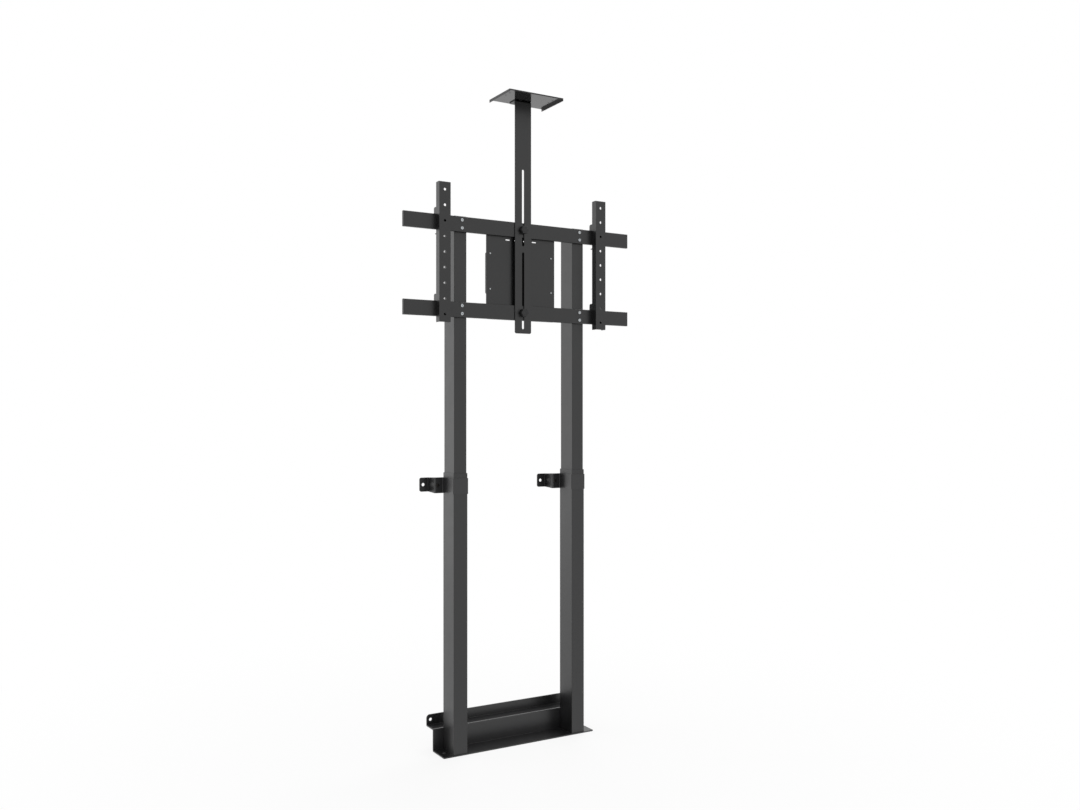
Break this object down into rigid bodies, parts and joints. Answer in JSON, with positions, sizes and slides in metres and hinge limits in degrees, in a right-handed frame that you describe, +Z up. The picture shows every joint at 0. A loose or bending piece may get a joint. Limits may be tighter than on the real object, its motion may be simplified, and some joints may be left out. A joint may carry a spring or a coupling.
{
  "type": "tv lift mechanism",
  "caption": "Motorised display lift: telescopic columns on a folded floor and wall bracket, cross bars with hooked display rails and a camera shelf above.",
  "frame": {"origin": "on the floor under the floor plate, midway between the two columns, in the plane of the columns' centre lines", "axes": "+X to the right seen from the front, +Y back to the wall, +Z up"},
  "size_m": [0.864, 0.2395, 2.172],
  "materials": {
    "column_steel": "satin powder coat, dark grey",
    "bracket_steel": "satin powder coat, near black",
    "gloss_black_steel": "gloss coat, black",
    "zinc_steel": "zinc plated",
    "bright_steel": "bright, rolled",
    "black_screw": "black oxide",
    "cast_housing": "die cast",
    "contact_brass": "plated",
    "black_plastic": "fine moulded grain",
    "gloss_black_plastic": "polished moulding",
    "glide_plastic": "natural acetal",
    "button_grey": "moulded",
    "board_green": "solder mask"
  },
  "bodies": {
    "base": {"base_bracket": "column_steel", "foot_blocks": "cast_housing", "foot_screws": "zinc_steel", "web_bolts": "zinc_steel", "clamp_bolts": "black_screw", "clamp_nuts": "zinc_steel", "outer_tube_left": "column_steel", "guide_collar_left": "black_plastic", "push_tube_left": "zinc_steel", "lift_nut_left": "glide_plastic", "clamp_band_left": "column_steel", "wall_bracket_left": "bracket_steel", "outer_tube_right": "column_steel", "guide_collar_right": "black_plastic", "push_tube_right": "zinc_steel", "lift_nut_right": "glide_plastic", "clamp_band_right": "column_steel", "wall_bracket_right": "bracket_steel"},
    "carriage": {"lower_bar": "bracket_steel", "upper_bar": "bracket_steel", "bar_caps": "black_plastic", "bar_bolts": "zinc_steel", "carrier_plate": "bracket_steel", "carrier_screws": "zinc_steel", "control_box_shell": "black_plastic", "control_box_lid": "black_plastic", "lid_screws": "zinc_steel", "circuit_board": "board_green", "power_supply": "black_plastic", "mains_inlet": "black_plastic", "inlet_pins": "contact_brass", "motor_ports": "black_plastic", "switch_bezel": "black_plastic", "button_switches": "black_plastic", "tube_caps": "black_plastic", "spindle_bearings": "bright_steel", "inner_tube_left": "column_steel", "lower_glide_left": "glide_plastic", "gearbox_left": "cast_housing", "tube_motor_left": "zinc_steel", "inner_tube_right": "column_steel", "lower_glide_right": "glide_plastic", "gearbox_right": "cast_housing", "tube_motor_right": "zinc_steel"},
    "spindle_left": {"lift_spindle_left": "bright_steel"},
    "spindle_right": {"lift_spindle_right": "bright_steel"},
    "rail_left": {"display_rail_left": "bracket_steel"},
    "rail_right": {"display_rail_right": "bracket_steel"},
    "rail_lock_left": {"rail_lock_left": "black_plastic"},
    "rail_lock_right": {"rail_lock_right": "black_plastic"},
    "camera_shelf": {"shelf_upright": "bracket_steel", "shelf_tray": "gloss_black_steel", "shelf_screws": "black_screw", "shelf_nuts": "zinc_steel"},
    "shelf_knob_lower": {"shelf_knob_lower": "black_plastic"},
    "shelf_knob_upper": {"shelf_knob_upper": "black_plastic"},
    "power_rocker": {"power_rocker": "gloss_black_plastic"},
    "up_button": {"up_button": "button_grey"},
    "down_button": {"down_button": "button_grey"}
  },
  "joints": [
    {"name": "lift_slide", "type": "slide", "parent": "base", "child": "carriage", "axis": [0, 0, 1], "range_m": [-0.5, 0]},
    {"name": "spindle_turn_left", "type": "hinge", "parent": "carriage", "child": "spindle_left", "pos_m": [-0.2275, 0, 1.148], "axis": [0, 0, 1], "range_deg": [-9010, 5]},
    {"name": "rail_slide_left", "type": "slide", "parent": "carriage", "child": "rail_left", "axis": [1, 0, 0], "range_m": [-0.1, 0.02]},
    {"name": "rail_lock_turn_left", "type": "hinge", "parent": "rail_left", "child": "rail_lock_left", "pos_m": [-0.3, -0.0435, 1.695], "axis": [0, 0, 1], "range_deg": [-360, 0]},
    {"name": "spindle_turn_right", "type": "hinge", "parent": "carriage", "child": "spindle_right", "pos_m": [0.2275, 0, 1.148], "axis": [0, 0, 1], "range_deg": [-9010, 5]},
    {"name": "rail_slide_right", "type": "slide", "parent": "carriage", "child": "rail_right", "axis": [1, 0, 0], "range_m": [-0.02, 0.1]},
    {"name": "rail_lock_turn_right", "type": "hinge", "parent": "rail_right", "child": "rail_lock_right", "pos_m": [0.3, -0.0435, 1.695], "axis": [0, 0, 1], "range_deg": [-360, 0]},
    {"name": "shelf_slide", "type": "slide", "parent": "carriage", "child": "camera_shelf", "axis": [0, 0, 1], "range_m": [-0.2, 0.05]},
    {"name": "shelf_knob_turn_lower", "type": "hinge", "parent": "carriage", "child": "shelf_knob_lower", "pos_m": [0, -0.0495, 1.456], "axis": [0, 1, 0], "range_deg": [-360, 0]},
    {"name": "shelf_knob_turn_upper", "type": "hinge", "parent": "carriage", "child": "shelf_knob_upper", "pos_m": [0, -0.0495, 1.735], "axis": [0, 1, 0], "range_deg": [-360, 0]},
    {"name": "power_rocker_tip", "type": "hinge", "parent": "carriage", "child": "power_rocker", "pos_m": [-0.0402, -0.01275, 1.526], "axis": [0, -1, 0], "range_deg": [-14, 0]},
    {"name": "up_button_press", "type": "slide", "parent": "carriage", "child": "up_button", "axis": [0, 0, 1], "range_m": [0, 0.002], "stiffness_N_per_m": 500, "springref_m": -0.0005},
    {"name": "down_button_press", "type": "slide", "parent": "carriage", "child": "down_button", "axis": [0, 0, 1], "range_m": [0, 0.002], "stiffness_N_per_m": 500, "springref_m": -0.0005}
  ],
  "couplings": [
    {"joint": "spindle_turn_left", "follows": "lift_slide", "rad_per_m": 314.16},
    {"joint": "spindle_turn_right", "follows": "lift_slide", "rad_per_m": 314.16}
  ]
}
